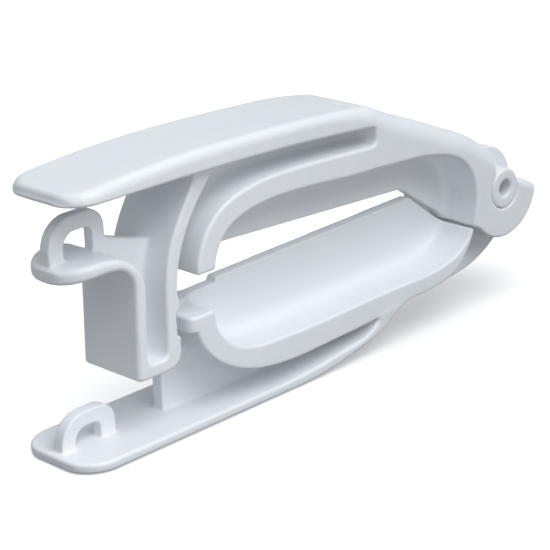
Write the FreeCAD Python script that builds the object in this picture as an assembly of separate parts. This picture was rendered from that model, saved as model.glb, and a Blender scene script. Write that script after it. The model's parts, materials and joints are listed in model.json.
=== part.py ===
import FreeCAD, Part
import math
import os

# Hinged clamp latch: two long moulded arms on a snap hinge, with a flexible catch under the upper one.
# Millimetres. The origin is in the middle of the length, at mid-width, on the surface that the lower
# paddle stands on. +X runs towards the hinge, +Y across the arms, +Z up. Outlines are drawn in XZ.

# Driving dimensions
HALF_WIDTH = 13.0  # paddles, jaws and ears
WEB = 3.4  # central webs, pinch ridges and eyes
HINGE_X = 68.0
HINGE_Z = 30.4
EAR_R = 13.6
TRUNNION_R = 5.5
TRUNNION_BORE_R = 2.2
RUNNING_CLEARANCE = 0.06  # trunnion in its open ear, on the radius
KNUCKLE_R = 10.3
KNUCKLE_HALF = 6.2  # half the knuckle's width, between the ears
SIDE_GAP = 0.4  # knuckle to each ear, and knuckle to the arm round it
HORN_R = 2.6  # rounded end of the ear below the trunnion's way in
HORN_FALL = 22  # slope of that end's upper side, in degrees
ARM_EDGE_R = 5.0  # side edges along the top of the solid arm
PADDLE_EDGE_R = 1.6  # edges along the top of the upper paddle
LOWER_TIP_X = -81.4
LOWER_PLATE = 2.5  # thickness of the lower paddle
LOWER_CORNER_R = 9.0  # paddle corners, seen from above
UPPER_TIP_X = -79.3
UPPER_CORNER_R = 8.0
JAW_RIGHT_X = 17.5  # where the upper paddle and jaw join the solid arm
EAR_LEFT_X = 56.0  # where the ears leave the solid arm
MOUTH_LEFT_X = 64.5  # where the ears' way in for the trunnions begins
CATCH_HALF_WIDTH = 10.0
FLEX_X = -41.2  # axis about which the catch's spring arm bends
FLEX_Z = 56.6
FLEX_R = 1.85  # rounded end of the moving spring arm, about that axis
FLEX_GAP = 0.3
LIP_LEFT_X = -47.5  # the end of the lower jaw's lip
LIP_TOP_Z = 28.4
LIP_BOTTOM_Z = 24.4
LIP_CORNER_R = 2.6
TOOTH_X = -47.9  # faces of the catch's two teeth, clear of the lip while the catch is relaxed
TOOTH_HEIGHT = 3.2  # of the upper tooth, above the notch
NOTCH_X = -49.0  # floor of the notch between the teeth
NOTCH_ROOM_ABOVE = 1.6  # notch above and below the lip
NOTCH_ROOM_BELOW = 0.4
SPRING_BOTTOM_Z = 44.0  # where the spring arm runs into the column's right flange
PLATE_LEFT_X = -60.7  # the column's left plate, at its top
PLATE_RIGHT_X = -57.6
PLATE_LEAN = 1.1  # of the plate's foot away from the hinge
PLATE_TOP_Z = 38.8
COLUMN_BOTTOM_Z = 16.5
POCKET_BOTTOM_Z = 19.8
TAB_TIP_X = -79.3
TAB_Z = 44.8  # underside of the release tab
TAB_THICK = 3.0
TAB_DROOP = 1.2  # of the tab's tip
TAB_BEND_R = 6.0
TAB_CORNER_R = 9.6

WEB_HALF = WEB / 2
NOTCH_TOP_Z = LIP_TOP_Z + NOTCH_ROOM_ABOVE
NOTCH_BOTTOM_Z = LIP_BOTTOM_Z - NOTCH_ROOM_BELOW
TOOTH_END_Z = NOTCH_TOP_Z + TOOTH_HEIGHT + 1.0  # top of the upper tooth's chamfer
KNUCKLE_ROOM_R = KNUCKLE_R + SIDE_GAP
EAR_INNER = KNUCKLE_HALF + SIDE_GAP
FAR = 200.0


def at(x, z, y=0.0):
    return FreeCAD.Vector(x, y, z)


def line(a, b):
    """A straight edge between two (x, z) points."""
    return [Part.makeLine(at(*a), at(*b))]


def curve(*points):
    """A smooth edge through (x, z) points."""
    spline = Part.BSplineCurve()
    spline.interpolate([at(*p) for p in points])
    return [spline.toShape()]


def rounded(*corners):
    """Edges of a closed outline of (x, z, radius) corners, with a tangent arc at each rounded one."""
    edges = []
    count = len(corners)
    ends = []
    for i, (x, z, r) in enumerate(corners):
        here = at(x, z)
        before = at(*corners[i - 1][:2]) - here
        after = at(*corners[(i + 1) % count][:2]) - here
        if r == 0:
            ends.append((here, None, here))
            continue
        before.normalize()
        after.normalize()
        half = before.getAngle(after) / 2
        bisector = (before + after).normalize()
        reach = r / math.tan(half)
        middle = here + bisector * (r / math.sin(half) - r)
        ends.append((here + before * reach, middle, here + after * reach))
    for i, (start, middle, end) in enumerate(ends):
        if middle is not None:
            edges.append(Part.Arc(start, middle, end).toShape())
        following = ends[(i + 1) % count][0]
        if (following - end).Length > 1e-6:
            edges.append(Part.makeLine(end, following))
    return edges


def slab(edges, y0, y1):
    """The closed outline, extruded from y0 to y1."""
    wire = Part.Wire(Part.__sortEdges__(edges))
    face = Part.Face(wire)
    face.translate(at(0, 0, y0))
    return face.extrude(at(0, 0, y1 - y0))


def both_sides(edges, half):
    return slab(edges, -half, half)


def block(x0, x1, y0, y1, z0, z1):
    return Part.makeBox(x1 - x0, y1 - y0, z1 - z0, FreeCAD.Vector(x0, y0, z0))


def rod(x, z, radius, y0, y1):
    """A cylinder along Y."""
    return Part.makeCylinder(radius, y1 - y0, at(x, z, y0), FreeCAD.Vector(0, 1, 0))


def plan_rounded(tip_x, end_x, half, radius, z0, z1):
    """A plate with rounded corners at its tip, seen from above, for cutting a paddle to shape."""
    plate = block(tip_x, end_x, -half, half, z0, z1)
    corners = [
        e
        for e in plate.Edges
        if all(abs(v.X - tip_x) < 1e-6 for v in e.Vertexes) and abs(e.Vertexes[0].Z - e.Vertexes[1].Z) > 1
    ]
    return plate.makeFillet(radius, corners)


def middle_of(edge):
    return edge.valueAt((edge.FirstParameter + edge.LastParameter) / 2)


def is_rim(edge):
    """Whether an edge runs along a shape's side faces or round its tip, and not across its cut end."""
    return max(abs(v.Y) for v in edge.Vertexes) > 0.1 and middle_of(edge).x < JAW_RIGHT_X - 0.1


def is_side_edge(edge):
    return abs(middle_of(edge).y) > 1


def is_near(edge, point, distance):
    middle = middle_of(edge)
    return math.hypot(middle.x - point[0], middle.z - point[1]) < distance


def on_edge_across(edge):
    """Whether an edge runs straight across the arms."""
    a, b = (v.Point for v in edge.Vertexes[:2]) if len(edge.Vertexes) > 1 else (at(0, 0), at(1, 0))
    return abs(a.x - b.x) + abs(a.z - b.z) < 1e-6 and abs(a.y - b.y) > 1


def rounded_edges(shape, radius, wanted):
    return shape.makeFillet(radius, [e for e in shape.Edges if wanted(e)])


def one_solid(shape):
    """The only solid of a shape, with its faces tidied."""
    solids = shape.removeSplitter().Solids
    if len(solids) != 1:
        raise ValueError(f"expected one solid, found {len(solids)}")
    return solids[0]


def save(name, shape):
    solid = one_solid(shape)
    if not solid.isValid():
        raise ValueError(f"{name} is not valid")
    solid.exportStep(f"parts/{name}.step")
    box = solid.BoundBox
    spans = f"x {box.XMin:6.1f}..{box.XMax:5.1f}  z {box.ZMin:5.1f}..{box.ZMax:5.1f}"
    print(f"{name:18s} {solid.Volume:9.1f} mm3  {spans}")


# ---- Outlines of the upper arm -------------------------------------------------------------------

PADDLE_UNDER = ((UPPER_TIP_X, 62.7), (-37.0, 62.3), (-5.0, 61.0), (JAW_RIGHT_X, 59.2))
PADDLE_TOP = (
    (JAW_RIGHT_X, 64.2),
    (6.0, 65.7),
    (-12.0, 66.8),
    (-36.0, 67.6),
    (-62.0, 67.0),
    (UPPER_TIP_X, 65.4),
)
JAW_OUTER = (
    (-44.4, 38.2),
    (-43.0, 44.6),
    (-37.6, 51.4),
    (-29.0, 55.0),
    (-14.0, 56.2),
    (3.0, 55.5),
    (JAW_RIGHT_X, 54.7),
)
JAW_INNER = (
    (JAW_RIGHT_X, 48.4),
    (0.0, 49.5),
    (-15.0, 50.4),
    (-27.0, 49.5),
    (-34.0, 46.8),
    (-37.6, 42.6),
    (-38.7, 38.2),
)
ARM_TOP = (
    (JAW_RIGHT_X, 64.2),
    (20.5, 62.8),
    (24.5, 61.0),
    (29.0, 59.1),
    (34.0, 57.1),
    (40.0, 54.6),
    (46.0, 52.0),
    (55.5, 47.8),
    (59.5, 45.5),
    (63.0, 43.1),
    (65.5, 41.1),
)
CAVITY_RIGHT = (
    (54.9, 23.2),
    (55.8, 29.0),
    (54.8, 36.6),
    (50.6, 42.2),
    (43.0, 45.6),
    (33.0, 47.4),
    (JAW_RIGHT_X, 48.4),
)
UPPER_TIP = (54.9, 23.2)  # the arm's lower end, where the closed jaws meet
RIDGE_END = (38.6, 35.4)  # where the upper ridge turns down along the line on which the jaws meet


def on_circle(radius, degrees):
    a = math.radians(degrees)
    return (HINGE_X + radius * math.cos(a), HINGE_Z + radius * math.sin(a))


def arc_about_hinge(radius, first, last):
    points = [on_circle(radius, d) for d in (first, (first + last) / 2, last)]
    return [Part.Arc(*[at(*p) for p in points]).toShape()]


def upper_paddle():
    edges = curve(*PADDLE_UNDER) + line(PADDLE_UNDER[-1], PADDLE_TOP[0]) + curve(*PADDLE_TOP)
    edges += line(PADDLE_TOP[-1], PADDLE_UNDER[0])
    plate = both_sides(edges, HALF_WIDTH)
    plate = plate.common(plan_rounded(UPPER_TIP_X, FAR, HALF_WIDTH, UPPER_CORNER_R, 50, 80))
    return rounded_edges(plate, PADDLE_EDGE_R, lambda e: is_rim(e) and middle_of(e).z > 64.3)


def upper_jaw():
    edges = curve(*JAW_OUTER) + line(JAW_OUTER[-1], JAW_INNER[0]) + curve(*JAW_INNER)
    edges += line(JAW_INNER[-1], JAW_OUTER[0])
    return both_sides(edges, HALF_WIDTH)


def upper_web(paddle, jaw):
    """The blade between the palm paddle and the jaw."""
    edges = line((-31.5, 64), (-35.6, 50)) + line((-35.6, 50), (JAW_RIGHT_X, 50))
    edges += line((JAW_RIGHT_X, 50), (JAW_RIGHT_X, 64)) + line((JAW_RIGHT_X, 64), (-31.5, 64))
    blade = both_sides(edges, WEB_HALF).cut(paddle).cut(jaw)
    inside = [s for s in blade.Solids if s.CenterOfMass.z > 52]
    return max(inside, key=lambda s: s.Volume)


def round_topped():
    """Everything under the line of the arm's top, with rounded side edges along that line."""
    top = curve(*ARM_TOP)[0]
    heading = top.tangentAt(top.LastParameter)
    end = (ARM_TOP[-1][0] + heading.x * FAR, ARM_TOP[-1][1] + heading.z * FAR)
    edges = [top] + line(ARM_TOP[-1], end) + line(end, (JAW_RIGHT_X, end[1]))
    edges += line((JAW_RIGHT_X, end[1]), ARM_TOP[0])
    under = both_sides(edges, HALF_WIDTH)
    return rounded_edges(under, ARM_EDGE_R, lambda e: is_side_edge(e) and is_near(e, ARM_TOP[5], 6))


def full_arm():
    """The solid arm from the jaw's end to the ears, over the whole width, with rounded top edges."""
    last, first = 30, -138  # the round end of the ears, in degrees about the hinge
    above = 90  # clear of the arm's top
    corner = (on_circle(EAR_R, last)[0], above)
    edges = line((JAW_RIGHT_X, above), corner) + line(corner, on_circle(EAR_R, last))
    edges += arc_about_hinge(EAR_R, last, first)
    edges += line(on_circle(EAR_R, first), UPPER_TIP) + curve(*CAVITY_RIGHT)
    edges += line(CAVITY_RIGHT[-1], (JAW_RIGHT_X, above))
    beyond = block(MOUTH_LEFT_X, FAR, -HALF_WIDTH, HALF_WIDTH, -FAR, FAR)
    return both_sides(edges, HALF_WIDTH).common(round_topped().fuse(beyond))


def upper_shoulder():
    """The solid arm, hollowed for the knuckle between the ears."""
    ear_side = block(EAR_LEFT_X, FAR, EAR_INNER, FAR, -FAR, FAR)
    arm = full_arm().cut(ear_side).cut(ear_side.mirror(at(0, 0), FreeCAD.Vector(0, 1, 0)))
    room = rod(HINGE_X, HINGE_Z, KNUCKLE_ROOM_R, -EAR_INNER, EAR_INNER)
    upper = on_circle(KNUCKLE_ROOM_R, 205)
    corner = (55.6, 22.6)  # clear of the neck
    lower = (corner[0], -50)
    below = both_sides(
        line(upper, (FAR, HINGE_Z - 4.2))
        + line((FAR, HINGE_Z - 4.2), (FAR, -50))
        + line((FAR, -50), lower)
        + line(lower, corner)
        + line(corner, upper),
        EAR_INNER,
    )
    right = block(MOUTH_LEFT_X, FAR, -EAR_INNER, EAR_INNER, -FAR, FAR)
    return arm.cut(room).cut(below).cut(right)


def ear(side):
    """One open C-shaped ear. The trunnion snaps in from the upper right."""
    y0, y1 = sorted((side * EAR_INNER, side * HALF_WIDTH))
    plate = full_arm().common(block(EAR_LEFT_X, FAR, y0, y1, -FAR, FAR))
    socket_r = TRUNNION_R + RUNNING_CLEARANCE
    left, right = on_circle(socket_r, 130), on_circle(socket_r, 18)
    out_left = (MOUTH_LEFT_X, FAR)
    slope = math.radians(-HORN_FALL)
    out_right = (right[0] + FAR * math.cos(slope), right[1] + FAR * math.sin(slope))
    arm_end = (MOUTH_LEFT_X, left[1] + 1.0)
    axis = (HINGE_X, HINGE_Z)
    mouth = line(left, arm_end) + line(arm_end, out_left) + line(out_left, out_right)
    mouth += line(out_right, right) + line(right, axis) + line(axis, left)
    plate = plate.cut(rod(HINGE_X, HINGE_Z, socket_r, y0, y1)).cut(slab(mouth, y0, y1))
    return rounded_edges(plate, HORN_R, lambda e: middle_of(e).x > HINGE_X + 12 and on_edge_across(e))


def upper_ridge(jaw, shoulder):
    """The pinch ridge inside the upper jaw, running down to where the closed jaws meet."""
    edges = line((-41.0, 39.9), RIDGE_END) + line(RIDGE_END, (55.4, 23.9)) + line((55.4, 23.9), (57.0, 52))
    edges += line((57.0, 52), (-41.0, 52)) + line((-41.0, 52), (-41.0, 39.9))
    blade = both_sides(edges, WEB_HALF).cut(jaw).cut(shoulder)
    return max(blade.Solids, key=lambda s: s.Volume if s.CenterOfMass.z < 48 else 0)


# ---- The catch -----------------------------------------------------------------------------------

SPRING_RIGHT = (
    (-33.2, 62.9),
    (-36.6, 59.2),
    (-40.0, 55.2),
    (-43.6, 50.0),
    (-46.6, 43.6),
    (-48.1, 37.0),
    (-48.4, 31.6),
)
SPRING_LEFT = (
    (-52.6, 19.0),
    (-51.9, 34.0),
    (-50.6, 43.0),
    (-48.4, 48.8),
    (-44.6, 55.0),
    (-41.9, 59.2),
    (-40.2, 62.9),
)
GUSSET_TOP = ((-62.5, 50.6), (-57.5, 48.9), (-45.0, 45.8))
UPPER_EYE = (-78.2, -61.8, 57.9)  # left, right and top of the eye on the tab
UPPER_EYE_HOLE = (-73.8, -65.4, 48.2, 54.0)
LOWER_EYE = (-79.2, -62.8, 10.7)
LOWER_EYE_HOLE = (-75.0, -67.4, 2.6, 7.0)


def spring_edges():
    edges = curve(*SPRING_RIGHT) + line(SPRING_RIGHT[-1], SPRING_LEFT[0]) + curve(*SPRING_LEFT)
    return edges + line(SPRING_LEFT[-1], SPRING_RIGHT[0])


def across_spring(offset, above):
    """A thick slab on one side of the line that crosses the spring arm at its bending axis."""
    slab_box = block(-30, 30, -20, 20, 0, 30) if above else block(-30, 30, -20, 20, -60, 0)
    slab_box.translate(at(0, offset))
    slab_box.rotate(at(0, 0), FreeCAD.Vector(0, 1, 0), math.degrees(math.atan2(7.0, 9.2)))
    slab_box.translate(at(FLEX_X, FLEX_Z))
    return slab_box


def spring_root(paddle):
    """The fixed end of the spring arm, under the palm paddle, with a round seat at the bending axis."""
    strip = both_sides(spring_edges(), CATCH_HALF_WIDTH)
    seat = rod(FLEX_X, FLEX_Z, FLEX_R + FLEX_GAP, -HALF_WIDTH, HALF_WIDTH)
    return strip.common(across_spring(0.8, True)).cut(seat).cut(paddle)


def catch_spring():
    strip = both_sides(spring_edges(), CATCH_HALF_WIDTH)
    end = rod(FLEX_X, FLEX_Z, FLEX_R, -CATCH_HALF_WIDTH, CATCH_HALF_WIDTH)
    strip = strip.common(across_spring(0.2, False)).fuse(end)
    return strip.common(block(-FAR, FAR, -HALF_WIDTH, HALF_WIDTH, SPRING_BOTTOM_Z, FAR))


def column_outline():
    """The column's outer outline, with the notch for the lip between its two teeth."""
    return rounded(
        (-49.5, TOOTH_END_Z, 0),
        (-48.3, TOOTH_END_Z, 0),
        (TOOTH_X, TOOTH_END_Z - 1.0, 0),
        (TOOTH_X, NOTCH_TOP_Z, 0),
        (NOTCH_X, NOTCH_TOP_Z, 0.5),
        (NOTCH_X, NOTCH_BOTTOM_Z, 0.5),
        (TOOTH_X, NOTCH_BOTTOM_Z, 0),
        (TOOTH_X - 0.5, COLUMN_BOTTOM_Z, 4.0),
        (PLATE_LEFT_X - PLATE_LEAN, COLUMN_BOTTOM_Z - 0.2, 1.0),
        (PLATE_LEFT_X, PLATE_TOP_Z, 0),
        (PLATE_RIGHT_X, PLATE_TOP_Z, 0),
        (PLATE_RIGHT_X, TOOTH_END_Z, 0),
    )


def catch_tooth(z0, z1):
    """One of the two teeth, which stand out from the column above and below the lip."""
    front = block(NOTCH_X, FAR, -HALF_WIDTH, HALF_WIDTH, z0, z1)
    return both_sides(column_outline(), CATCH_HALF_WIDTH).common(front)


def catch_column():
    """Left plate, closed bottom and right flange, joined by a central web."""
    flange = both_sides(spring_edges(), CATCH_HALF_WIDTH)
    flange = flange.common(block(-FAR, FAR, -HALF_WIDTH, HALF_WIDTH, TOOTH_END_Z, SPRING_BOTTOM_Z))
    body = both_sides(column_outline(), CATCH_HALF_WIDTH)
    body = body.common(block(-FAR, NOTCH_X, -HALF_WIDTH, HALF_WIDTH, 0, TOOTH_END_Z + FAR))
    web = both_sides(
        rounded((-59, 30, 0), (-50, 30, 0), (-50, SPRING_BOTTOM_Z, 0), (-59, SPRING_BOTTOM_Z, 0)), WEB_HALF
    )
    web = web.common(block(PLATE_RIGHT_X - 0.5, FAR, -FAR, FAR, 0, FAR)).cut(catch_tab())
    pocket_side = rounded(
        (PLATE_RIGHT_X, 60, 0),
        (PLATE_RIGHT_X, PLATE_TOP_Z, 0),
        (PLATE_RIGHT_X - PLATE_LEAN, POCKET_BOTTOM_Z, 1.5),
        (-52.5, POCKET_BOTTOM_Z, 1.5),
        (-50.8, 60, 0),
    )
    pocket = slab(pocket_side, WEB_HALF, HALF_WIDTH).cut(flange)
    pocket = pocket.fuse(pocket.mirror(at(0, 0), FreeCAD.Vector(0, 1, 0)))
    return body.fuse(web).cut(pocket).fuse(flange)


def catch_tab():
    """The release tab, bent out of the top of the left plate."""
    turn = TAB_BEND_R * (1 - math.sqrt(0.5))
    under = at(PLATE_LEFT_X - turn, TAB_Z - turn)
    top = TAB_Z + TAB_THICK
    flat_x = -71.6  # the tab droops from here to its tip
    edges = line((PLATE_RIGHT_X, PLATE_TOP_Z), (PLATE_LEFT_X, PLATE_TOP_Z))
    edges += [Part.Arc(at(PLATE_LEFT_X, PLATE_TOP_Z), under, at(PLATE_LEFT_X - TAB_BEND_R, TAB_Z)).toShape()]
    edges += curve(
        (PLATE_LEFT_X - TAB_BEND_R, TAB_Z),
        (flat_x, TAB_Z),
        (TAB_TIP_X + 4, TAB_Z - TAB_DROOP / 2),
        (TAB_TIP_X, TAB_Z - TAB_DROOP),
    )
    edges += line((TAB_TIP_X, TAB_Z - TAB_DROOP), (TAB_TIP_X, top - 0.7))
    edges += curve((TAB_TIP_X, top - 0.7), (TAB_TIP_X + 4, top - 0.1), (flat_x, top + 0.3), (-67.0, top))
    edges += [Part.Arc(at(-67.0, top), at(-60.8, 45.1), at(PLATE_RIGHT_X, PLATE_TOP_Z)).toShape()]
    plate = both_sides(edges, CATCH_HALF_WIDTH)
    return plate.common(plan_rounded(TAB_TIP_X, FAR, CATCH_HALF_WIDTH, TAB_CORNER_R, 0, 80))


def eye(extent, hole, foot_z, base):
    """An upright arch with a rounded slot through it, standing on a plate."""
    left, right, top = extent
    outline = rounded((left, foot_z, 0), (right, foot_z, 0), (right, top, 4.5), (left, top, 7.5))
    arch = both_sides(outline, WEB_HALF)
    x0, x1, z0, z1 = hole
    slot = both_sides(rounded((x0, z0, 0), (x1, z0, 0), (x1, z1, 1.8), (x0, z1, 3.4)), HALF_WIDTH)
    return arch.cut(slot).cut(base)


def catch_gusset(tab, spring, column):
    """The thin rib from the eye's foot across the top of the column."""
    edges = curve(*GUSSET_TOP) + line(GUSSET_TOP[-1], (-45.0, 36.0))
    edges += line((-45.0, 36.0), (-62.5, 36.0)) + line((-62.5, 36.0), GUSSET_TOP[0])
    rib = both_sides(edges, WEB_HALF).cut(tab).cut(spring).cut(column)
    eye_side = block(UPPER_EYE[1], FAR, -FAR, FAR, -FAR, FAR)
    rib = rib.common(eye_side)
    return max(rib.Solids, key=lambda s: s.Volume if s.CenterOfMass.x < -49 else 0)


# ---- The lower arm -------------------------------------------------------------------------------

PLATE_TOP = ((-20.0, LOWER_PLATE), (-6.0, 3.2), (6.0, 4.6), (13.0, 5.9), (17.0, 9.0))
PLATE_UNDER = ((28.0, 10.2), (24.5, 8.9), (18.0, 5.3), (8.0, 2.5), (-2.0, 0.7), (-15.0, 0.0))
TROUGH_INNER = ((-22.0, 15.0), (0.0, 14.8), (24.0, 15.3), (40.0, 15.5), (48.4, 17.6), (53.9, 22.9))
TROUGH_OUTER = (
    (55.0, 22.3),
    (52.0, 17.4),
    (47.4, 13.0),
    (40.8, 10.9),
    (28.0, 10.2),
    (17.0, 9.0),
    (0.0, 8.2),
    (-20.0, 8.2),
    (-31.5, 10.8),
    (-40.2, 16.0),
    (-44.0, 20.6),
    (-45.4, LIP_BOTTOM_Z),
)
NECK_UNDER = ((30.0, 10.6), (44.0, 7.6), (55.7, 8.0), (62.3, 9.3), (67.1, 11.2), (71.2, 13.6), (75.6, 19.0))
NECK_LEFT = (54.9, 21.3)  # where the neck's upper side leaves the trough
LOWER_RIDGE_TOP = ((-29.0, 30.9), (41.8, 32.4))
LOWER_RIDGE_STEP_Z = 29.6  # the ridge's top to the left of its step


def lower_paddle():
    edges = curve(*PLATE_TOP) + line(PLATE_TOP[-1], PLATE_UNDER[0]) + curve(*PLATE_UNDER)
    edges += line(PLATE_UNDER[-1], (LOWER_TIP_X, 0)) + line((LOWER_TIP_X, 0), (LOWER_TIP_X, LOWER_PLATE))
    edges += line((LOWER_TIP_X, LOWER_PLATE), PLATE_TOP[0])
    plate = both_sides(edges, HALF_WIDTH)
    return plate.common(plan_rounded(LOWER_TIP_X, FAR, HALF_WIDTH, LOWER_CORNER_R, 0, 20))


def lower_trough():
    """The lower jaw: a trough with a raised left wall that carries the lip for the catch."""
    edges = curve(*TROUGH_INNER) + line(TROUGH_INNER[-1], TROUGH_OUTER[0]) + curve(*TROUGH_OUTER)
    edges += line(TROUGH_OUTER[-1], (LIP_LEFT_X, LIP_BOTTOM_Z))
    edges += line((LIP_LEFT_X, LIP_BOTTOM_Z), (LIP_LEFT_X, LIP_TOP_Z))
    edges += line((LIP_LEFT_X, LIP_TOP_Z), (-39.8, LIP_TOP_Z + 0.2))
    edges += curve((-39.8, LIP_TOP_Z + 0.2), (-38.8, 23.4), (-35.4, 19.0), (-30.0, 16.2), (-22.0, 15.0))
    trough = both_sides(edges, HALF_WIDTH)
    return trough.common(plan_rounded(LIP_LEFT_X, FAR, HALF_WIDTH, LIP_CORNER_R, -5, 60))


def lower_web(paddle, trough):
    """The blade between the flat paddle and the trough."""
    left = ((-44.9, 24.6, 0), (-45.3, 19.5, 0), (-48.2, 14.6, 0))  # clear of the catch's column
    edges = rounded((-48.2, 1, 0), (20, 1, 0), (20, 24, 0), *left)
    blade = both_sides(edges, WEB_HALF).cut(paddle).cut(trough)
    return max(blade.Solids, key=lambda s: s.Volume if s.CenterOfMass.z < 16 else 0)


def lower_ridge(trough):
    """The pinch ridge along the trough, with a step near its left end."""
    end_x, end_z = LOWER_RIDGE_TOP[1]
    start_x, start_z = LOWER_RIDGE_TOP[0]
    edges = rounded(
        (start_x + 0.3, start_z, 0),
        (end_x, end_z, 0),
        (54.6, 22.4, 0),
        (54.6, 12.0, 0),
        (-46.0, 12.0, 0),
        (-46.0, LOWER_RIDGE_STEP_Z - 0.2, 1.0),
        (start_x, LOWER_RIDGE_STEP_Z, 0),
    )
    blade = both_sides(edges, WEB_HALF).cut(trough)
    return max(blade.Solids, key=lambda s: s.Volume if s.CenterOfMass.z > 14 else 0)


def hinge_neck(trough, ridge):
    """The narrower neck that carries the knuckle between the ears."""
    last = 211  # the end of the knuckle's round side, in degrees about the hinge
    left = (30.0, 14.0)
    edges = curve(*NECK_UNDER, (HINGE_X + KNUCKLE_R, HINGE_Z))
    edges += arc_about_hinge(KNUCKLE_R, 0, last)
    edges += line(on_circle(KNUCKLE_R, last), NECK_LEFT) + line(NECK_LEFT, left) + line(left, NECK_UNDER[0])
    neck = both_sides(edges, KNUCKLE_HALF).cut(trough).cut(ridge)
    return max(neck.Solids, key=lambda s: s.Volume)


def trunnion(side):
    y0, y1 = sorted((side * KNUCKLE_HALF, side * HALF_WIDTH))
    return rod(HINGE_X, HINGE_Z, TRUNNION_R, y0, y1).cut(rod(HINGE_X, HINGE_Z, TRUNNION_BORE_R, y0, y1))


def main():
    os.makedirs("parts", exist_ok=True)

    paddle, jaw, shoulder = upper_paddle(), upper_jaw(), upper_shoulder()
    save("upper_paddle", paddle)
    save("upper_jaw", jaw)
    save("upper_web", upper_web(paddle, jaw))
    save("upper_ridge", upper_ridge(jaw, shoulder))
    save("upper_shoulder", shoulder)
    save("ear_near", ear(-1))
    save("ear_far", ear(1))
    save("catch_root", spring_root(paddle))

    spring, column, tab = catch_spring(), catch_column(), catch_tab()
    save("catch_spring", spring)
    save("catch_column", column)
    save("catch_tooth_upper", catch_tooth(NOTCH_TOP_Z, TOOTH_END_Z))
    save("catch_tooth_lower", catch_tooth(0, NOTCH_BOTTOM_Z))
    save("catch_tab", tab)
    save("catch_eye", eye(UPPER_EYE, UPPER_EYE_HOLE, TAB_Z + 1, tab))
    save("catch_gusset", catch_gusset(tab, spring, column))

    plate, trough = lower_paddle(), lower_trough()
    ridge = lower_ridge(trough)
    bore = rod(HINGE_X, HINGE_Z, TRUNNION_BORE_R, -HALF_WIDTH, HALF_WIDTH)
    save("lower_paddle", plate)
    save("lower_trough", trough)
    save("lower_web", lower_web(plate, trough))
    save("lower_ridge", ridge)
    save("lower_eye", eye(LOWER_EYE, LOWER_EYE_HOLE, 1, plate))
    save("hinge_neck", hinge_neck(trough, ridge).cut(bore))
    save("trunnion_near", trunnion(-1))
    save("trunnion_far", trunnion(1))


main()
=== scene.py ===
import json
import math

import bmesh
import bpy
import numpy as np
from mathutils import Matrix, Vector


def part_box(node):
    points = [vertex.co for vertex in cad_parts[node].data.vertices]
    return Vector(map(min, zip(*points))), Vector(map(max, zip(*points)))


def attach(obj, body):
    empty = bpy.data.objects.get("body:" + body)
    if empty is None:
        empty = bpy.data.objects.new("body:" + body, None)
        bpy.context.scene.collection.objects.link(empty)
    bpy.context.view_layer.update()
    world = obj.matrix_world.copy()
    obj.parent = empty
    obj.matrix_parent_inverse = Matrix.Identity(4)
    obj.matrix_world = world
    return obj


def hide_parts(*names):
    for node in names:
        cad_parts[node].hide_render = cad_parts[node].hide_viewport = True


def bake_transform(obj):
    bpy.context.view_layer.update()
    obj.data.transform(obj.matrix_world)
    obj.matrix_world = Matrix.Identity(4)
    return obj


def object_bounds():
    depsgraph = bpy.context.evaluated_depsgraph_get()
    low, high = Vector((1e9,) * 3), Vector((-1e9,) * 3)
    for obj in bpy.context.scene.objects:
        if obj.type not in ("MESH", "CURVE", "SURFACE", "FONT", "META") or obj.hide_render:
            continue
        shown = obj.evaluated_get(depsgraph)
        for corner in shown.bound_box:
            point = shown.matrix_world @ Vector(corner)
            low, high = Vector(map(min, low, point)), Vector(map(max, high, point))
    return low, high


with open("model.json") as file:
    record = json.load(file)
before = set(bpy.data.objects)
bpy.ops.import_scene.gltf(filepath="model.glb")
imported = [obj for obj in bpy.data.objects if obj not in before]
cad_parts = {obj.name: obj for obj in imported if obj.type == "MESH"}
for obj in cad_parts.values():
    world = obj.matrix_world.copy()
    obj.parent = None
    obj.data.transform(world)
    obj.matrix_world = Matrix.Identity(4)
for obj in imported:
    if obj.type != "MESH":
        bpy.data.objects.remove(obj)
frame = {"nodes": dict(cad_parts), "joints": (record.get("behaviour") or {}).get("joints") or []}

# A moulded hand clamp: an upper arm with a sprung hook catch, and a lower arm with hinge trunnions.
# Each moulding is built as one soft-edged skin. The skins come from distance fields in millimetres,
# made from sections through the CAD nodes, with rounded edges and with fillets at the feet of the webs.

cad_box = [list(corner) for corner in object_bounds()]
CELL = 0.42  # spacing of the distance fields, mm
MM = 0.001
MARGIN = 2.4  # room round each moulding, mm
REACH = 8.0  # distances are exact up to here, mm

HALF_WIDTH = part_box("upper_paddle")[1][1] / MM
CATCH_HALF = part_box("catch_tab")[1][1] / MM
WEB_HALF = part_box("lower_web")[1][1] / MM
HINGE_X, HINGE_Z = (frame["joints"][0]["pos_m"][i] / MM for i in (0, 2))
FLEX_X, FLEX_Z = (frame["joints"][1]["pos_m"][i] / MM for i in (0, 2))
MID = 0.013  # sections through the middle are taken just off it

# Paddle and lip corners, seen from above
PADDLE_CORNER = 8.0
LOWER_CORNER = 9.0
TAB_CORNER = 9.6
LIP_CORNER = 2.6
TIP_INSET = 0.15  # keeps the rounded tips inside the CAD's

# Fillets at the feet of the blades
JAW_FILLET = 3.0
TROUGH_FILLET = 4.0
EYE_FILLET = 1.0


# ---- Flat distance fields, in XZ ------------------------------------------------------------------

class Grid:
    """Sample places round some CAD nodes, in millimetres."""

    def __init__(self, nodes):
        boxes = [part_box(n) for n in nodes]
        lo = [min(b[0][i] for b in boxes) / MM - MARGIN for i in range(3)]
        hi = [max(b[1][i] for b in boxes) / MM + MARGIN for i in range(3)]
        self.x = np.arange(lo[0], hi[0], CELL)
        self.z = np.arange(lo[2], hi[2], CELL)
        self.y = (np.arange(int(hi[1] / CELL) + 1) + 0.5) * CELL  # one half: the mouldings are symmetric
        self.X, self.Z = np.meshgrid(self.x, self.z, indexing="ij")


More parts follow.
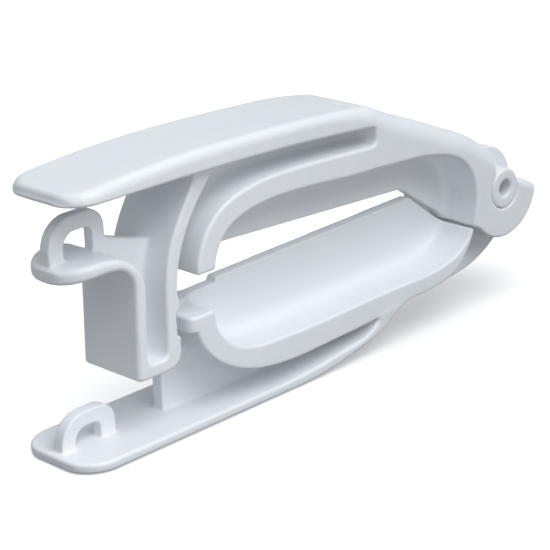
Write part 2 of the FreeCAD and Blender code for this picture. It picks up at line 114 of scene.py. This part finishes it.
def section(node, y):
    """Line segments of a CAD node's section at the height y across the arms."""
    mesh = frame["nodes"][node].data
    mesh.calc_loop_triangles()
    co = np.empty(len(mesh.vertices) * 3)
    mesh.vertices.foreach_get("co", co)
    index = np.empty(len(mesh.loop_triangles) * 3, int)
    mesh.loop_triangles.foreach_get("vertices", index)
    tri = (co.reshape(-1, 3) / MM)[index.reshape(-1, 3)]
    above = tri[:, :, 1] > y
    cut = above.any(1) & ~above.all(1)
    tri, above = tri[cut], above[cut]
    rows = np.arange(len(tri))
    lone = np.where(above.sum(1) == 1, above.argmax(1), (~above).argmax(1))
    a = tri[rows, lone]
    ends = []
    for step in (1, 2):
        b = tri[rows, (lone + step) % 3]
        ends.append((a + (b - a) * ((y - a[:, 1]) / (b[:, 1] - a[:, 1]))[:, None])[:, [0, 2]])
    return np.stack(ends, 1)


def distance_to(segments, px, pz):
    """Unsigned distance from points to the nearest of many segments."""
    best = np.full(px.shape, 1e9, np.float32)
    px, pz = px.astype(np.float32), pz.astype(np.float32)
    for (ax, az), (bx, bz) in segments.astype(np.float32):
        dx, dz = bx - ax, bz - az
        length = dx * dx + dz * dz
        if length < 1e-10:
            continue
        t = np.clip(((px - ax) * dx + (pz - az) * dz) / length, 0, 1)
        np.minimum(best, (px - ax - t * dx) ** 2 + (pz - az - t * dz) ** 2, out=best)
    return np.sqrt(best)


def inside(segments, px, pz):
    result = np.zeros(px.shape, bool)
    for (ax, az), (bx, bz) in segments:
        if az == bz:
            continue
        crosses = (az > pz) != (bz > pz)
        result ^= crosses & (px < ax + (pz - az) * (bx - ax) / (bz - az))
    return result


def flat(grid, segments):
    """Signed distance to a closed outline, negative inside."""
    lo, hi = segments.min((0, 1)) - REACH, segments.max((0, 1)) + REACH
    i0, i1 = np.searchsorted(grid.x, [lo[0], hi[0]])
    k0, k1 = np.searchsorted(grid.z, [lo[1], hi[1]])
    field = np.full(grid.X.shape, REACH, np.float32)
    X, Z = grid.X[i0:i1, k0:k1], grid.Z[i0:i1, k0:k1]
    d = distance_to(segments, X, Z)
    d[inside(segments, X, Z)] *= -1
    field[i0:i1, k0:k1] = np.minimum(d, REACH)
    return field


def contour(grid, field, level):
    """Segments of the line on which a flat field has this level."""
    f = field - level
    f = np.where(f == 0, 1e-6, f)
    X, Z = grid.X, grid.Z

    def crossing(a, b):
        t = f[a] / np.where(f[a] == f[b], 1, f[a] - f[b])
        return (f[a] > 0) != (f[b] > 0), X[a] + t * (X[b] - X[a]), Z[a] + t * (Z[b] - Z[a])

    s00, s10 = np.s_[:-1, :-1], np.s_[1:, :-1]
    s01, s11 = np.s_[:-1, 1:], np.s_[1:, 1:]
    sides = [crossing(s00, s10), crossing(s10, s11), crossing(s01, s11), crossing(s00, s01)]
    hit = np.stack([s[0] for s in sides], -1)
    points = np.stack([np.stack([s[1], s[2]], -1) for s in sides], -2)
    some = hit.any(-1)
    hit, points = hit[some], points[some]
    order = np.argsort(~hit, axis=1, kind="stable")
    rows = np.arange(len(hit))[:, None]
    segments = [points[rows, order[:, :2]]]
    full = hit.all(1)
    segments.append(points[full][:, 2:])
    return np.concatenate(segments)


def redistance(grid, field, level=0.0):
    """The signed distance to the line at this level, exact near it."""
    segments = contour(grid, field, level)
    near = np.abs(field - level) < REACH
    result = np.where(field > level, REACH, -REACH).astype(np.float32)
    d = np.minimum(distance_to(segments, grid.X[near], grid.Z[near]), REACH)
    result[near] = np.where(field[near] > level, d, -d)
    return result


def merged(grid, *fields, gap=0.08):
    """One outline from outlines that meet or nearly meet."""
    return redistance(grid, np.minimum.reduce(fields), gap) + gap


def opened(grid, field, radius):
    """Rounds the outline's outer corners."""
    return redistance(grid, field, -radius) - radius


def closed(grid, field, radius):
    """Rounds the outline's inner corners."""
    return redistance(grid, field, radius) + radius


# ---- Solid distance fields ------------------------------------------------------------------------

def both(a, b, radius):
    """What is in a and in b, with the edge between them rounded."""
    a, b = a + radius, b + radius
    outside = np.sqrt(np.maximum(a, 0) ** 2 + np.maximum(b, 0) ** 2)
    return np.minimum(np.maximum(a, b), 0) + outside - radius


def soft_union(a, b, size):
    """What is in a or in b, with a fillet of about this size between them."""
    h = np.maximum(size - np.abs(a - b), 0) / size
    return np.minimum(a, b) - h * h * size / 4


def soft_cut(a, b, size):
    """What is in a and not in b, with a softened edge."""
    return -soft_union(-a, b, size)


def deep(field):
    """A flat field as a solid one, ready to combine with distances across the arms."""
    return field[:, None, :]


def across(grid, half):
    return (grid.y - half)[None, :, None]


def plan(grid, tip_x, half, radius):
    """Distance to a strip seen from above, which ends at tip_x in two rounded corners."""
    px = (tip_x + radius - grid.x)[:, None, None]
    py = (grid.y - half + radius)[None, :, None]
    outside = np.sqrt(np.maximum(px, 0) ** 2 + np.maximum(py, 0) ** 2)
    return np.minimum(np.maximum(px, py), 0) + outside - radius


def roof(grid, field, last_x, slope):
    """Distance to everything under the outline's upper side, which runs straight on from last_x."""
    inner = field < 0
    some = inner.any(1) & (grid.x < last_x)
    top = inner.shape[1] - 1 - inner[:, ::-1].argmax(1)
    rows = np.arange(len(grid.x))
    below, above = field[rows, top], field[rows, np.minimum(top + 1, inner.shape[1] - 1)]
    height = grid.z[top] + CELL * below / np.where(below == above, 1, below - above)
    x, z = grid.x[some], height[some]
    before, beyond = 20, 40  # how far the line runs on at either end
    x = np.concatenate([[x[0] - before], x, [x[-1] + beyond]])
    z = np.concatenate([[z[0]], z, [z[-1] - beyond * slope]])
    segments = np.stack([np.stack([x[:-1], z[:-1]], 1), np.stack([x[1:], z[1:]], 1)], 1)
    distance = np.minimum(distance_to(segments, grid.X, grid.Z), REACH)
    return np.where(grid.Z > np.interp(grid.X, x, z), distance, -distance)


def outline(grid, node, y=MID):
    """The flat field of a CAD node's section."""
    return flat(grid, section(node, y))


def blade(grid, node, edge, corners=0.0):
    """A web, ridge or eye in the middle of the width, with rounded edges and outline corners."""
    profile = outline(grid, node)
    if corners > 0:
        profile = opened(grid, profile, corners)
    return both(deep(profile), across(grid, WEB_HALF), edge)


# ---- Meshing --------------------------------------------------------------------------------------

def skin(grid, half_field, name):
    """A mesh on the zero surface of a field that is given for one half and mirrored across the arms."""
    field = np.concatenate([half_field[:, ::-1], half_field], axis=1).astype(np.float32)
    y = np.concatenate([-grid.y[::-1], grid.y])
    origin = np.array([grid.x[0], y[0], grid.z[0]])
    solid = field < 0
    shape = np.array(field.shape)
    total = np.zeros((*(shape - 1), 3), np.float32)
    count = np.zeros(shape - 1, np.float32)
    crossings = []
    for axis in range(3):
        a = [slice(None)] * 3
        b = [slice(None)] * 3
        a[axis], b[axis] = slice(None, -1), slice(1, None)
        fa, fb = field[tuple(a)], field[tuple(b)]
        cut = np.argwhere(solid[tuple(a)] != solid[tuple(b)])
        va, vb = fa[tuple(cut.T)], fb[tuple(cut.T)]
        spot = cut.astype(np.float32)
        spot[:, axis] += va / (va - vb)
        crossings.append((axis, cut, va < 0))
        u, v = [i for i in range(3) if i != axis]
        for du in (0, -1):
            for dv in (0, -1):
                cell = cut.copy()
                cell[:, u] += du
                cell[:, v] += dv
                np.add.at(total, tuple(cell.T), spot)
                np.add.at(count, tuple(cell.T), 1)
    used = count > 0
    index = np.full(used.shape, -1, np.int64)
    index[used] = np.arange(used.sum())
    points = total[used] / count[used][:, None]
    for _ in range(3):
        value, slope = sample(field, points)
        step = value / np.maximum((slope**2).sum(1), 0.2 * CELL * CELL)
        points -= np.clip(step[:, None] * slope, -0.4, 0.4)
    faces = []
    for axis, cut, outward in crossings:
        u, v = [(1, 2), (2, 0), (0, 1)][axis]
        ring = []
        for du, dv in ((0, 0), (-1, 0), (-1, -1), (0, -1)):
            cell = cut.copy()
            cell[:, u] += du
            cell[:, v] += dv
            ring.append(index[tuple(cell.T)])
        quads = np.stack(ring, 1)
        quads[~outward] = quads[~outward][:, ::-1]
        faces.append(quads)
    faces = np.concatenate(faces)
    mesh = bpy.data.meshes.new(name)
    mesh.from_pydata(((points * CELL + origin) * MM).tolist(), [], faces.tolist())
    mesh.polygons.foreach_set("use_smooth", np.ones(len(mesh.polygons), bool))
    obj = bpy.data.objects.new(name, mesh)
    bpy.context.scene.collection.objects.link(obj)
    return obj, field, origin


def smooth(mesh, field, origin):
    """Takes a mesh's shading normals from the field it was made from."""
    co = np.empty(len(mesh.vertices) * 3)
    mesh.vertices.foreach_get("co", co)
    slope = sample(field, (co.reshape(-1, 3) / MM - origin) / CELL)[1]
    slope /= np.maximum(np.linalg.norm(slope, axis=1), 1e-6)[:, None]
    mesh.normals_split_custom_set_from_vertices(slope.tolist())


def sample(field, points):
    """A field's value and slope at points given in cells."""
    base = np.clip(np.floor(points).astype(int), 0, np.array(field.shape) - 2)
    t = points - base
    value = np.zeros(len(points), np.float32)
    slope = np.zeros((len(points), 3), np.float32)
    for corner in np.ndindex(2, 2, 2):
        weight = [np.where(c, t[:, i], 1 - t[:, i]) for i, c in enumerate(corner)]
        f = field[tuple((base + corner).T)]
        value += f * weight[0] * weight[1] * weight[2]
        for i in range(3):
            j, k = [n for n in range(3) if n != i]
            slope[:, i] += f * (1 if corner[i] else -1) * weight[j] * weight[k]
    return value, slope


# ---- The upper moulding ---------------------------------------------------------------------------

UPPER = [
    "upper_paddle", "upper_jaw", "upper_web", "upper_ridge", "upper_shoulder", "ear_near", "ear_far",
    "catch_root",
]
CATCH = [
    "catch_spring", "catch_column", "catch_tooth_upper", "catch_tooth_lower", "catch_tab", "catch_eye",
    "catch_gusset",
]
LOWER = [
    "lower_paddle", "lower_trough", "lower_web", "lower_ridge", "lower_eye", "hinge_neck",
    "trunnion_near", "trunnion_far",
]
EAR_Y = 7.5  # a section inside the ears, clear of the rounded top edges
CATCH_Y = 5.0  # a section of the catch beside its web
HORN = (73.3, 32.1, math.radians(22))  # inner end of the ears' lower horn, and how steeply its top falls


def ears(grid, arm, edge):
    """The open ears, with the upper side of each lower horn well rounded."""
    horn_x, horn_z, fall = HORN
    horn_top = (grid.X - horn_x) * math.sin(fall) + (grid.Z - horn_z) * math.cos(fall)
    below = both(deep(np.maximum(arm, grid.Z - horn_z - 0.8)), edge, 0.7)
    return np.maximum(below, both(deep(horn_top), edge, 2.2))


def knuckle_room(grid, top, shoulder_end):
    """The room for the knuckle between the ears, which leaves the arm's top and the cavity's wall whole."""
    ear_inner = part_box("ear_far")[0][1] / MM
    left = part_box("ear_far")[0][0] / MM - 1.5
    middle = merged(grid, *[outline(grid, n) for n in ("upper_shoulder", "upper_jaw", "upper_paddle")])
    lid_depth = 1.1
    lid = np.maximum(grid.X - shoulder_end, -top - lid_depth)
    wall_x, wall_foot = 56.4, 23.4  # inside the wall between the knuckle and the jaws' cavity
    wall = np.maximum(grid.X - wall_x, wall_foot - grid.Z)
    kept = np.minimum.reduce([middle, lid, wall])
    return np.maximum(np.maximum(deep(-kept), across(grid, ear_inner)), (left - grid.x)[:, None, None])


def upper_field(grid):
    sides = [outline(grid, n, EAR_Y) for n in ("upper_shoulder", "ear_far")]
    arm = merged(grid, outline(grid, "upper_paddle"), outline(grid, "upper_jaw"), *sides)
    arm = opened(grid, closed(grid, arm, 1.2), 0.3)
    tip_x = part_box("upper_paddle")[0][0] / MM
    edge = plan(grid, tip_x - 0.2, HALF_WIDTH, PADDLE_CORNER)
    shoulder_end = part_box("upper_shoulder")[1][0] / MM
    top = roof(grid, arm, shoulder_end - 1.0, 0.8)
    turn_from, turn_length = 2.0, 26.0  # where the paddle's edges grow into the solid arm's rounder ones
    turn = np.clip((grid.x - turn_from) / turn_length, 0, 1)[:, None, None]
    top_edge = 2.4 + 2.8 * turn * turn * (3 - 2 * turn)
    body = np.maximum(both(deep(arm), edge, 0.8), both(deep(top), edge, top_edge))
    body = np.minimum(body, ears(grid, arm, edge))
    body = soft_cut(body, knuckle_room(grid, top, shoulder_end), 0.6)
    body = soft_union(body, blade(grid, "upper_web", 0.3), JAW_FILLET)
    return soft_union(body, blade(grid, "upper_ridge", 0.6, 0.4), JAW_FILLET)


def catch_field(grid):
    strip = merged(grid, *[outline(grid, n, CATCH_Y) for n in ("catch_root", "catch_spring")], gap=0.6)
    column = ("catch_column", "catch_tooth_upper", "catch_tooth_lower")
    strip = merged(grid, strip, outline(grid, "catch_tab"), *[outline(grid, n, CATCH_Y) for n in column])
    strip = opened(grid, strip, 0.35)
    tip_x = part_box("catch_tab")[0][0] / MM
    edge = plan(grid, tip_x - TIP_INSET, CATCH_HALF, TAB_CORNER)
    tab_x, change = -58, 4  # the edges are rounder on the tab, to the left of the column's plate
    softer = 0.75 + 0.5 * np.clip((tab_x - grid.x) / change, 0, 1)[:, None, None]
    body = both(deep(strip), edge, softer)
    inner = merged(grid, strip, outline(grid, "catch_column"), outline(grid, "catch_gusset"), gap=0.6)
    everything = both(deep(inner), edge, softer)
    web = both(deep(inner), across(grid, WEB_HALF), 0.5)
    body = np.maximum(soft_union(body, web, 1.6), everything)
    return soft_union(body, blade(grid, "catch_eye", 0.5, 0.3), EYE_FILLET)


def lower_jaw(grid, jaw):
    """The trough with its lip, and the ridge in it."""
    lip_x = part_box("lower_trough")[0][0] / MM
    trough = both(deep(opened(grid, jaw, 0.4)), plan(grid, lip_x, HALF_WIDTH, LIP_CORNER), 0.65)
    body = soft_union(trough, blade(grid, "lower_ridge", 0.4, 0.2), TROUGH_FILLET)
    return np.maximum(body, deep(merged(grid, jaw, outline(grid, "lower_ridge"))))


def lower_field(grid):
    plate, jaw = (outline(grid, n) for n in ("lower_paddle", "lower_trough"))
    tip_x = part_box("lower_paddle")[0][0] / MM
    edge = plan(grid, tip_x - TIP_INSET, HALF_WIDTH, LOWER_CORNER)
    body = soft_union(both(deep(opened(grid, plate, 0.5)), edge, 0.8), lower_jaw(grid, jaw), 1.5)
    neck_lo, neck_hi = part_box("hinge_neck")
    joined_x = neck_lo[0] / MM - 8.0  # to the right of it the paddle runs into the trough
    underside = closed(grid, merged(grid, plate, jaw), 3.0)
    underside = both(deep(np.maximum(underside, joined_x - grid.X)), across(grid, HALF_WIDTH), 0.65)
    body = np.minimum(body, underside)
    body = soft_union(body, blade(grid, "lower_web", 0.3), 1.2)
    neck = both(deep(outline(grid, "hinge_neck")), across(grid, neck_hi[1] / MM), 0.6)
    body = soft_union(body, neck, 1.5)
    body = soft_union(body, blade(grid, "lower_eye", 0.5, 0.3), EYE_FILLET)
    lo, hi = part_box("trunnion_far")
    radius, bore_radius = (hi[0] - lo[0]) / 2 / MM, 2.2
    from_axis = np.hypot(grid.X - HINGE_X, grid.Z - HINGE_Z)
    pin = both(deep(from_axis - radius), across(grid, hi[1] / MM), 0.7)
    return soft_cut(soft_union(body, pin, 0.3), deep(from_axis - bore_radius), 0.9)


def moulding(name, nodes, make):
    """One skin over these CAD nodes."""
    grid = Grid(nodes)
    return skin(grid, make(grid), name)


def whole_upper(grid):
    """The upper arm and the catch, filleted together where the spring arm leaves the palm paddle."""
    body, catch = upper_field(grid), catch_field(grid)
    root_z = 57.5
    return soft_union(body, catch, np.where(grid.z > root_z, 2.5, 0.2)[None, None, :])


def split(whole, field, origin, first, second, point, normal, corner_lo, corner_hi):
    """Cuts a skin in two at a plane, within a box, and closes both pieces with a flat cap."""
    bm = bmesh.new()
    bm.from_mesh(whole.data)

    def boxed(co):
        return all(lo < c < hi for lo, c, hi in zip(corner_lo, co, corner_hi))

    near = [f for f in bm.faces if boxed(f.calc_center_median())]
    geometry = set(near)
    for f in near:
        geometry.update(f.edges)
        geometry.update(f.verts)
    result = bmesh.ops.bisect_plane(bm, geom=list(geometry), plane_co=point, plane_no=normal, dist=1e-7)
    seam = [e for e in result["geom_cut"] if isinstance(e, bmesh.types.BMEdge)]
    bmesh.ops.split_edges(bm, edges=seam)
    bm.faces.ensure_lookup_table()
    start = max(bm.faces, key=lambda f: f.calc_center_median().x)
    found, stack = {start}, [start]
    while stack:
        for e in stack.pop().edges:
            for f in e.link_faces:
                if f not in found:
                    found.add(f)
                    stack.append(f)
    pieces = []
    kept = {f.index for f in found}
    for name, drop in ((first, False), (second, True)):
        part = bm.copy()
        part.faces.ensure_lookup_table()
        part.faces.index_update()
        bmesh.ops.delete(part, geom=[f for f in part.faces if (f.index in kept) == drop], context="FACES")
        rim = [e for e in part.edges if e.is_boundary]
        cap = bmesh.ops.contextual_create(part, geom=rim)["faces"]
        for f in cap:
            f.smooth = True
        bmesh.ops.recalc_face_normals(part, faces=part.faces)
        mesh = bpy.data.meshes.new(name)
        part.to_mesh(mesh)
        part.free()
        smooth(mesh, field, origin)
        obj = bpy.data.objects.new(name, mesh)
        bpy.context.scene.collection.objects.link(obj)
        pieces.append(obj)
    bm.free()
    bpy.data.objects.remove(whole)
    return pieces


ALONG = Vector((-7.0, 0.0, -9.2)).normalized()  # down the spring arm at its bending axis
SEAM_ABOVE = 2.2  # from the bending axis up to the cut, mm
ROOT_BOX = ((-0.050, -0.012, 0.0535), (-0.0335, 0.012, 0.0622))  # round the spring arm's root, m

whole, field, origin = moulding("upper_whole", UPPER + CATCH, whole_upper)
seam = Vector((FLEX_X, 0, FLEX_Z)) * MM - ALONG * SEAM_ABOVE * MM
upper, catch = split(whole, field, origin, "upper_moulding", "catch_moulding", seam, ALONG, *ROOT_BOX)
lower, field, origin = moulding("lower_moulding", LOWER, lower_field)
smooth(lower.data, field, origin)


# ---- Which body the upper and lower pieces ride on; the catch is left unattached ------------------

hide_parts(*UPPER)
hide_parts(*CATCH)
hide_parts(*LOWER)
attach(upper, "upper_arm")
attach(lower, "lower_arm")
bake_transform(catch)


# ---- Materials ------------------------------------------------------------------------------------

def nodes_of(material):
    """An emptied node tree, and a function that adds a node with its values set."""
    material.use_nodes = True
    tree = material.node_tree
    tree.nodes.clear()

    def add(kind, **values):
        node = tree.nodes.new(kind)
        for key, value in values.items():
            if key in node.inputs:
                node.inputs[key].default_value = value
            else:
                setattr(node, key, value)
        return node

    return tree, add


def plastic(name, low, high, seed):
    """Cool white moulded plastic: a fine spark-eroded grain, faint cloudy flow marks and uneven gloss."""
    material = bpy.data.materials.new(name)
    tree, add = nodes_of(material)
    link = tree.links.new
    place = add("ShaderNodeTexCoord")
    shift = add("ShaderNodeMapping")
    shift.inputs["Location"].default_value = (seed, 2 * seed, 3 * seed)
    link(place.outputs["Object"], shift.inputs["Vector"])
    where = shift.outputs["Vector"]

    clouds = add("ShaderNodeTexNoise", Scale=38.0, Detail=4.0, Roughness=0.55)
    flow = add("ShaderNodeTexNoise", Scale=130.0, Detail=3.0, Distortion=1.5)
    grain = add("ShaderNodeTexNoise", Scale=2600.0, Detail=2.0)
    waves = add("ShaderNodeTexNoise", Scale=75.0, Detail=1.0)
    for texture in (clouds, flow, grain, waves):
        link(where, texture.inputs["Vector"])

    tint = add("ShaderNodeValToRGB")
    tint.color_ramp.elements[0].position, tint.color_ramp.elements[1].position = 0.32, 0.68
    tint.color_ramp.elements[0].color = (*low, 1)
    tint.color_ramp.elements[1].color = (*high, 1)
    link(clouds.outputs["Fac"], tint.inputs["Fac"])
    gloss = add("ShaderNodeMapRange")
    for socket, value in (("From Min", 0.3), ("From Max", 0.7), ("To Min", 0.34), ("To Max", 0.46)):
        gloss.inputs[socket].default_value = value
    link(flow.outputs["Fac"], gloss.inputs["Value"])
    fine = add("ShaderNodeBump", Strength=0.10, Distance=0.00006)
    link(grain.outputs["Fac"], fine.inputs["Height"])
    broad = add("ShaderNodeBump", Strength=0.12, Distance=0.0006)
    link(waves.outputs["Fac"], broad.inputs["Height"])
    link(fine.outputs["Normal"], broad.inputs["Normal"])

    shader = add("ShaderNodeBsdfPrincipled")
    shader.inputs["IOR"].default_value = 1.49
    shader.inputs["Subsurface Weight"].default_value = 0.12
    shader.inputs["Subsurface Radius"].default_value = (0.0016, 0.0018, 0.0021)
    shader.inputs["Subsurface Scale"].default_value = 1.0
    link(tint.outputs["Color"], shader.inputs["Base Color"])
    link(gloss.outputs["Result"], shader.inputs["Roughness"])
    link(broad.outputs["Normal"], shader.inputs["Normal"])
    output = add("ShaderNodeOutputMaterial")
    link(shader.outputs["BSDF"], output.inputs["Surface"])
    return material


upper_plastic = plastic("upper_plastic", (0.835, 0.852, 0.870), (0.865, 0.880, 0.895), 0.31)
lower_plastic = plastic("lower_plastic", (0.830, 0.848, 0.868), (0.860, 0.876, 0.892), 1.27)
for piece, material in ((upper, upper_plastic), (catch, upper_plastic), (lower, lower_plastic)):
    piece.data.materials.clear()
    piece.data.materials.append(material)


# ---- Floor, light and camera ----------------------------------------------------------------------

def floor():
    size = 3.0
    mesh = bpy.data.meshes.new("floor")
    corners = [(-size, -size, 0), (size, -size, 0), (size, size, 0), (-size, size, 0)]
    mesh.from_pydata(corners, [], [(0, 1, 2, 3)])
    obj = bpy.data.objects.new("floor", mesh)
    bpy.context.scene.collection.objects.link(obj)
    material = bpy.data.materials.new("floor_paper")
    tree, add = nodes_of(material)
    shader = add("ShaderNodeBsdfPrincipled")
    shader.inputs["Base Color"].default_value = (0.96, 0.96, 0.96, 1)
    shader.inputs["Roughness"].default_value = 0.9
    shader.inputs["Specular IOR Level"].default_value = 0.1
    shader.inputs["Emission Color"].default_value = (1, 1, 1, 1)
    shader.inputs["Emission Strength"].default_value = 0.31
    output = add("ShaderNodeOutputMaterial")
    tree.links.new(shader.outputs["BSDF"], output.inputs["Surface"])
    mesh.materials.append(material)
    obj.location.z = cad_box[0][2] - 0.0002
    obj.visible_diffuse = False  # it throws no light back on the object
    return obj


def sun(name, direction, power, spread, colour=(1, 1, 1)):
    """A soft, even light from a direction, spread in degrees."""
    data = bpy.data.lights.new(name, "SUN")
    data.angle = math.radians(spread)
    data.energy = power
    data.color = colour
    obj = bpy.data.objects.new(name, data)
    bpy.context.scene.collection.objects.link(obj)
    obj.rotation_euler = Vector(direction).to_track_quat("Z", "Y").to_euler()
    return obj


def panel(name, place, target, size, power):
    """A square soft light of its own, close to the object."""
    data = bpy.data.lights.new(name, "AREA")
    data.size = size
    data.energy = power
    obj = bpy.data.objects.new(name, data)
    bpy.context.scene.collection.objects.link(obj)
    obj.location = place
    obj.rotation_euler = (Vector(place) - Vector(target)).to_track_quat("Z", "Y").to_euler()
    obj.visible_camera = False
    return obj


def sky(low, level, high):
    """Soft light from all round: brightest overhead, dim from below."""
    world = bpy.data.worlds.new("studio")
    bpy.context.scene.world = world
    tree, add = nodes_of(world)
    place = add("ShaderNodeTexCoord")
    axes = add("ShaderNodeSeparateXYZ")
    height = add("ShaderNodeMapRange")
    for socket, value in (("From Min", -1.0), ("From Max", 1.0), ("To Min", 0.0), ("To Max", 1.0)):
        height.inputs[socket].default_value = value
    ramp = add("ShaderNodeValToRGB")
    ramp.color_ramp.elements.new(0.5)
    for element, position, colour in zip(ramp.color_ramp.elements, (0.35, 0.5, 1.0), (low, level, high)):
        element.position = position
        element.color = (*colour, 1)
    background = add("ShaderNodeBackground", Strength=1.0)
    output = add("ShaderNodeOutputWorld")
    link = tree.links.new
    link(place.outputs["Generated"], axes.inputs["Vector"])
    link(axes.outputs["Z"], height.inputs["Value"])
    link(height.outputs["Result"], ramp.inputs["Fac"])
    link(ramp.outputs["Color"], background.inputs["Color"])
    link(background.outputs["Background"], output.inputs["Surface"])


def lights_floor(light, ground, state):
    """Makes a light reach only the floor, or everything but the floor."""
    group = bpy.data.collections.new(light.name + "_reach")
    group.objects.link(ground)
    group.collection_objects[0].light_linking.link_state = state
    light.light_linking.receiver_collection = group


ground = floor()
sky((0.11, 0.12, 0.135), (0.21, 0.23, 0.255), (0.68, 0.70, 0.73))
key = sun("key", (0.1, -0.7, 1.0), 1.62, 45, (0.955, 0.98, 1.0))
fill = panel("catch_fill", (-0.10, -0.16, 0.06), (-0.055, 0.0, 0.03), 0.12, 0.055)
paper_light = sun("paper_light", (-0.2, -0.25, 1.0), 1.4, 70)
for light, state in ((key, "EXCLUDE"), (fill, "EXCLUDE"), (paper_light, "INCLUDE")):
    lights_floor(light, ground, state)
bpy.context.scene.view_settings.view_transform = "Standard"

camera = bpy.data.cameras.new("camera")
camera.lens = 128.98
camera.sensor_width = 36.0
camera.clip_start, camera.clip_end = 0.05, 20.0
viewer = bpy.data.objects.new("camera", camera)
bpy.context.scene.collection.objects.link(viewer)
right = (0.70282, -0.71000, -0.04404)
upward = (0.27530, 0.21439, 0.93715)
back = (-0.65594, -0.67077, 0.34614)
view = Matrix((right, upward, back)).transposed().to_4x4()
view.translation = (-0.3286, -0.3286, 0.1943)
viewer.matrix_world = view
bpy.context.scene.camera = viewer
